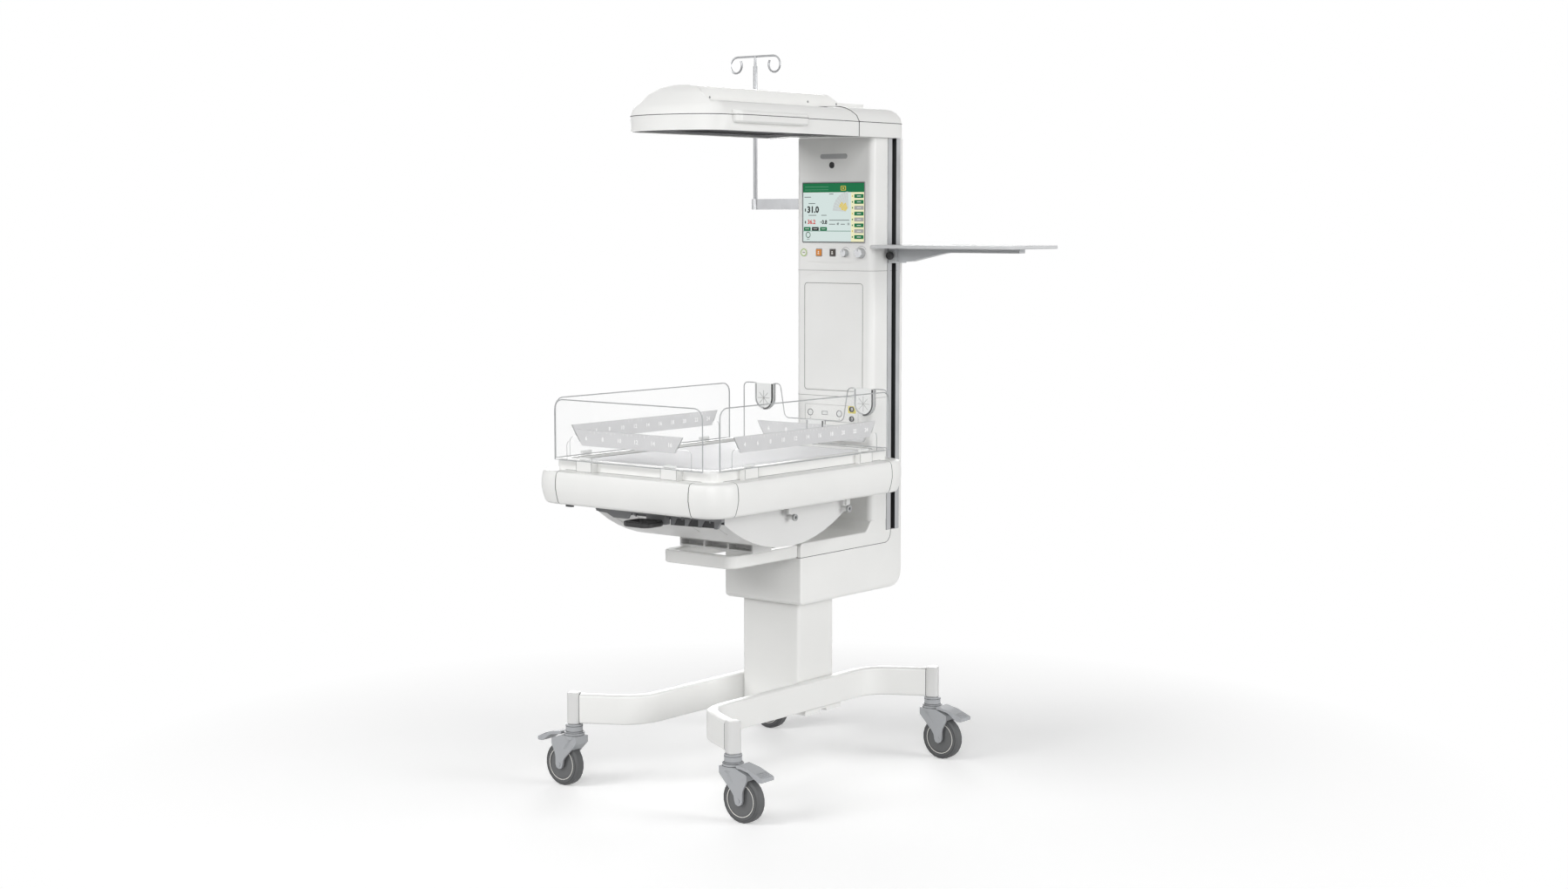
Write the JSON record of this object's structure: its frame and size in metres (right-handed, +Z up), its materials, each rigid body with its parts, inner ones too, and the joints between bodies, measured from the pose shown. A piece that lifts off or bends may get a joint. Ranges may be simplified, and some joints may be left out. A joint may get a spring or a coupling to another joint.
{
  "type": "infant radiant warmer",
  "caption": "Mobile infant radiant warmer: wheeled base, lifting column, tilting bed with fold-down clear sides, control tower and a swivelling heater hood.",
  "frame": {"origin": "on the floor, under the middle of the whole box, with the shelf and the pole's hook included", "axes": "+Z up, +Y towards the back of the tower, +X to the right for someone who faces its front"},
  "size_m": [1.1351, 1.1934, 2.1232],
  "materials": {
    "white_moulding": "fine satin moulding, warm white",
    "powder_coat": "white powder coat",
    "grey_moulding": "grey moulded nylon",
    "grey_tyre": "dark grey non-marking tyre on a dark hub",
    "black_moulding": "black moulding",
    "anodised_alloy": "satin anodised",
    "bright_steel": "bright stainless",
    "polished_reflector": "polished sheet",
    "dark_panel": "dark grey heat-proof panel",
    "clear_acrylic": "clear sheet with polished edges",
    "white_silicone": "soft white silicone",
    "mattress_cover": "wipe-clean coated fabric over foam",
    "display_screen": "lit screen behind a matt front",
    "lamp_lens": "grey lens",
    "green_button": "white cap with a green ring",
    "orange_button": "orange cap",
    "silver_knob": "turned, satin"
  },
  "bodies": {
    "base": {"left_leg": "powder_coat", "right_leg": "powder_coat", "base_plate": "powder_coat", "column_outer": "powder_coat"},
    "lift": {"column_inner": "anodised_alloy", "housing_lower": "white_moulding", "housing_upper": "white_moulding", "support_arm": "powder_coat", "tilt_bracket": "powder_coat", "tower_lower_panel": "white_moulding", "tower_door": "white_moulding", "control_panel": "white_moulding", "connector_panel": "white_moulding", "display": "display_screen", "status_lamp": "lamp_lens", "sensor_eye": "dark_panel", "tower_spine": "white_moulding", "side_rail_left": "anodised_alloy", "side_rail_right": "anodised_alloy", "hood_pivot": "white_moulding"},
    "hood": {"hood_shell": "white_moulding", "hood_cover": "white_moulding", "hood_base": "dark_panel", "heater_guard": "bright_steel", "reflector": "polished_reflector", "heater_tube": "bright_steel"},
    "bed": {"cradle": "powder_coat", "bed_tray": "white_moulding", "bumper": "white_moulding", "mattress": "mattress_cover"},
    "tilt_lever": {"tilt_handle": "black_moulding"},
    "left_side": {"panel_left": "clear_acrylic"},
    "right_side": {"panel_right": "clear_acrylic"},
    "front_side": {"panel_front": "clear_acrylic"},
    "rear_side": {"panel_rear": "clear_acrylic", "grommet_left": "white_silicone", "grommet_right": "white_silicone"},
    "pole": {"pole_bracket": "anodised_alloy", "pole_tube": "bright_steel"},
    "pole_top": {"pole_hook": "bright_steel"},
    "shelf": {"shelf_bracket": "anodised_alloy", "shelf_plate": "powder_coat"},
    "shelf_screw": {"shelf_knob": "black_moulding"},
    "start_button": {"button_start": "green_button"},
    "alarm_button": {"button_alarm": "orange_button"},
    "heat_button": {"button_heat": "black_moulding"},
    "small_knob": {"knob_small": "silver_knob"},
    "large_knob": {"knob_large": "silver_knob"},
    "caster_front_left": {"caster_fork_front_left": "grey_moulding"},
    "wheel_front_left": {"caster_wheel_front_left": "grey_tyre"},
    "pedal_front_left": {"caster_pedal_front_left": "grey_moulding"},
    "caster_front_right": {"caster_fork_front_right": "grey_moulding"},
    "wheel_front_right": {"caster_wheel_front_right": "grey_tyre"},
    "pedal_front_right": {"caster_pedal_front_right": "grey_moulding"},
    "caster_rear_left": {"caster_fork_rear_left": "grey_moulding"},
    "wheel_rear_left": {"caster_wheel_rear_left": "grey_tyre"},
    "pedal_rear_left": {"caster_pedal_rear_left": "grey_moulding"},
    "caster_rear_right": {"caster_fork_rear_right": "grey_moulding"},
    "wheel_rear_right": {"caster_wheel_rear_right": "grey_tyre"},
    "pedal_rear_right": {"caster_pedal_rear_right": "grey_moulding"}
  },
  "joints": [
    {"name": "column_lift", "type": "slide", "parent": "base", "child": "lift", "axis": [0, 0, 1], "range_m": [0, 0.2]},
    {"name": "hood_swivel", "type": "hinge", "parent": "lift", "child": "hood", "pos_m": [-0.0774, 0.39435, 1.855], "axis": [0, 0, 1], "range_deg": [-60, 60]},
    {"name": "bed_tilt", "type": "hinge", "parent": "lift", "child": "bed", "pos_m": [-0.0774, -0.15465, 1.187], "axis": [1, 0, 0], "range_deg": [-12, 12]},
    {"name": "tilt_release", "type": "hinge", "parent": "bed", "child": "tilt_lever", "pos_m": [-0.0774, -0.45965, 0.786], "axis": [-1, 0, 0], "range_deg": [0, 12]},
    {"name": "left_side_fold", "type": "hinge", "parent": "bed", "child": "left_side", "pos_m": [-0.3815, -0.15465, 0.9503], "axis": [0, -1, 0], "range_deg": [0, 90]},
    {"name": "right_side_fold", "type": "hinge", "parent": "bed", "child": "right_side", "pos_m": [0.2267, -0.15465, 0.9503], "axis": [0, 1, 0], "range_deg": [0, 90]},
    {"name": "front_side_fold", "type": "hinge", "parent": "bed", "child": "front_side", "pos_m": [-0.0774, -0.57125, 0.9503], "axis": [1, 0, 0], "range_deg": [0, 90]},
    {"name": "rear_side_lift", "type": "slide", "parent": "bed", "child": "rear_side", "axis": [0, 0, 1], "range_m": [0, 0.15]},
    {"name": "pole_slide", "type": "slide", "parent": "lift", "child": "pole", "axis": [0, 0, 1], "range_m": [-0.4, 0.15]},
    {"name": "pole_extend", "type": "slide", "parent": "pole", "child": "pole_top", "axis": [0, 0, 1], "range_m": [0, 0.25]},
    {"name": "shelf_slide", "type": "slide", "parent": "lift", "child": "shelf", "axis": [0, 0, 1], "range_m": [-0.3, 0.2]},
    {"name": "shelf_screw_turn", "type": "hinge", "parent": "shelf", "child": "shelf_screw", "pos_m": [0.0819, 0.43365, 1.5067], "axis": [0, 1, 0], "continuous": true},
    {"name": "start_press", "type": "slide", "parent": "lift", "child": "start_button", "axis": [0, 1, 0], "range_m": [0, 0.002], "stiffness_N_per_m": 300, "springref_m": -0.002},
    {"name": "alarm_press", "type": "slide", "parent": "lift", "child": "alarm_button", "axis": [0, 1, 0], "range_m": [0, 0.002], "stiffness_N_per_m": 300, "springref_m": -0.002},
    {"name": "heat_press", "type": "slide", "parent": "lift", "child": "heat_button", "axis": [0, 1, 0], "range_m": [0, 0.002], "stiffness_N_per_m": 300, "springref_m": -0.002},
    {"name": "small_knob_turn", "type": "hinge", "parent": "lift", "child": "small_knob", "pos_m": [-0.0314, 0.35435, 1.515], "axis": [0, 1, 0], "continuous": true},
    {"name": "large_knob_turn", "type": "hinge", "parent": "lift", "child": "large_knob", "pos_m": [0.0266, 0.35435, 1.515], "axis": [0, 1, 0], "continuous": true},
    {"name": "swivel_front_left", "type": "hinge", "parent": "base", "child": "caster_front_left", "pos_m": [-0.3724, -0.47565, 0], "axis": [0, 0, 1], "continuous": true},
    {"name": "spin_front_left", "type": "hinge", "parent": "caster_front_left", "child": "wheel_front_left", "pos_m": [-0.4104, -0.47565, 0.0625], "axis": [0, 1, 0], "continuous": true},
    {"name": "brake_front_left", "type": "hinge", "parent": "caster_front_left", "child": "pedal_front_left", "pos_m": [-0.4077, -0.47565, 0.156], "axis": [0, -1, 0], "range_deg": [0, 10]},
    {"name": "swivel_front_right", "type": "hinge", "parent": "base", "child": "caster_front_right", "pos_m": [0.2176, -0.47565, 0], "axis": [0, 0, 1], "continuous": true},
    {"name": "spin_front_right", "type": "hinge", "parent": "caster_front_right", "child": "wheel_front_right", "pos_m": [0.2556, -0.47565, 0.0625], "axis": [0, 1, 0], "continuous": true},
    {"name": "brake_front_right", "type": "hinge", "parent": "caster_front_right", "child": "pedal_front_right", "pos_m": [0.2529, -0.47565, 0.156], "axis": [0, 1, 0], "range_deg": [0, 10]},
    {"name": "swivel_rear_left", "type": "hinge", "parent": "base", "child": "caster_rear_left", "pos_m": [-0.3724, 0.46435, 0], "axis": [0, 0, 1], "continuous": true},
    {"name": "spin_rear_left", "type": "hinge", "parent": "caster_rear_left", "child": "wheel_rear_left", "pos_m": [-0.4104, 0.46435, 0.0625], "axis": [0, 1, 0], "continuous": true},
    {"name": "brake_rear_left", "type": "hinge", "parent": "caster_rear_left", "child": "pedal_rear_left", "pos_m": [-0.4077, 0.46435, 0.156], "axis": [0, -1, 0], "range_deg": [0, 10]},
    {"name": "swivel_rear_right", "type": "hinge", "parent": "base", "child": "caster_rear_right", "pos_m": [0.2176, 0.46435, 0], "axis": [0, 0, 1], "continuous": true},
    {"name": "spin_rear_right", "type": "hinge", "parent": "caster_rear_right", "child": "wheel_rear_right", "pos_m": [0.2556, 0.46435, 0.0625], "axis": [0, 1, 0], "continuous": true},
    {"name": "brake_rear_right", "type": "hinge", "parent": "caster_rear_right", "child": "pedal_rear_right", "pos_m": [0.2529, 0.46435, 0.156], "axis": [0, 1, 0], "range_deg": [0, 10]}
  ]
}
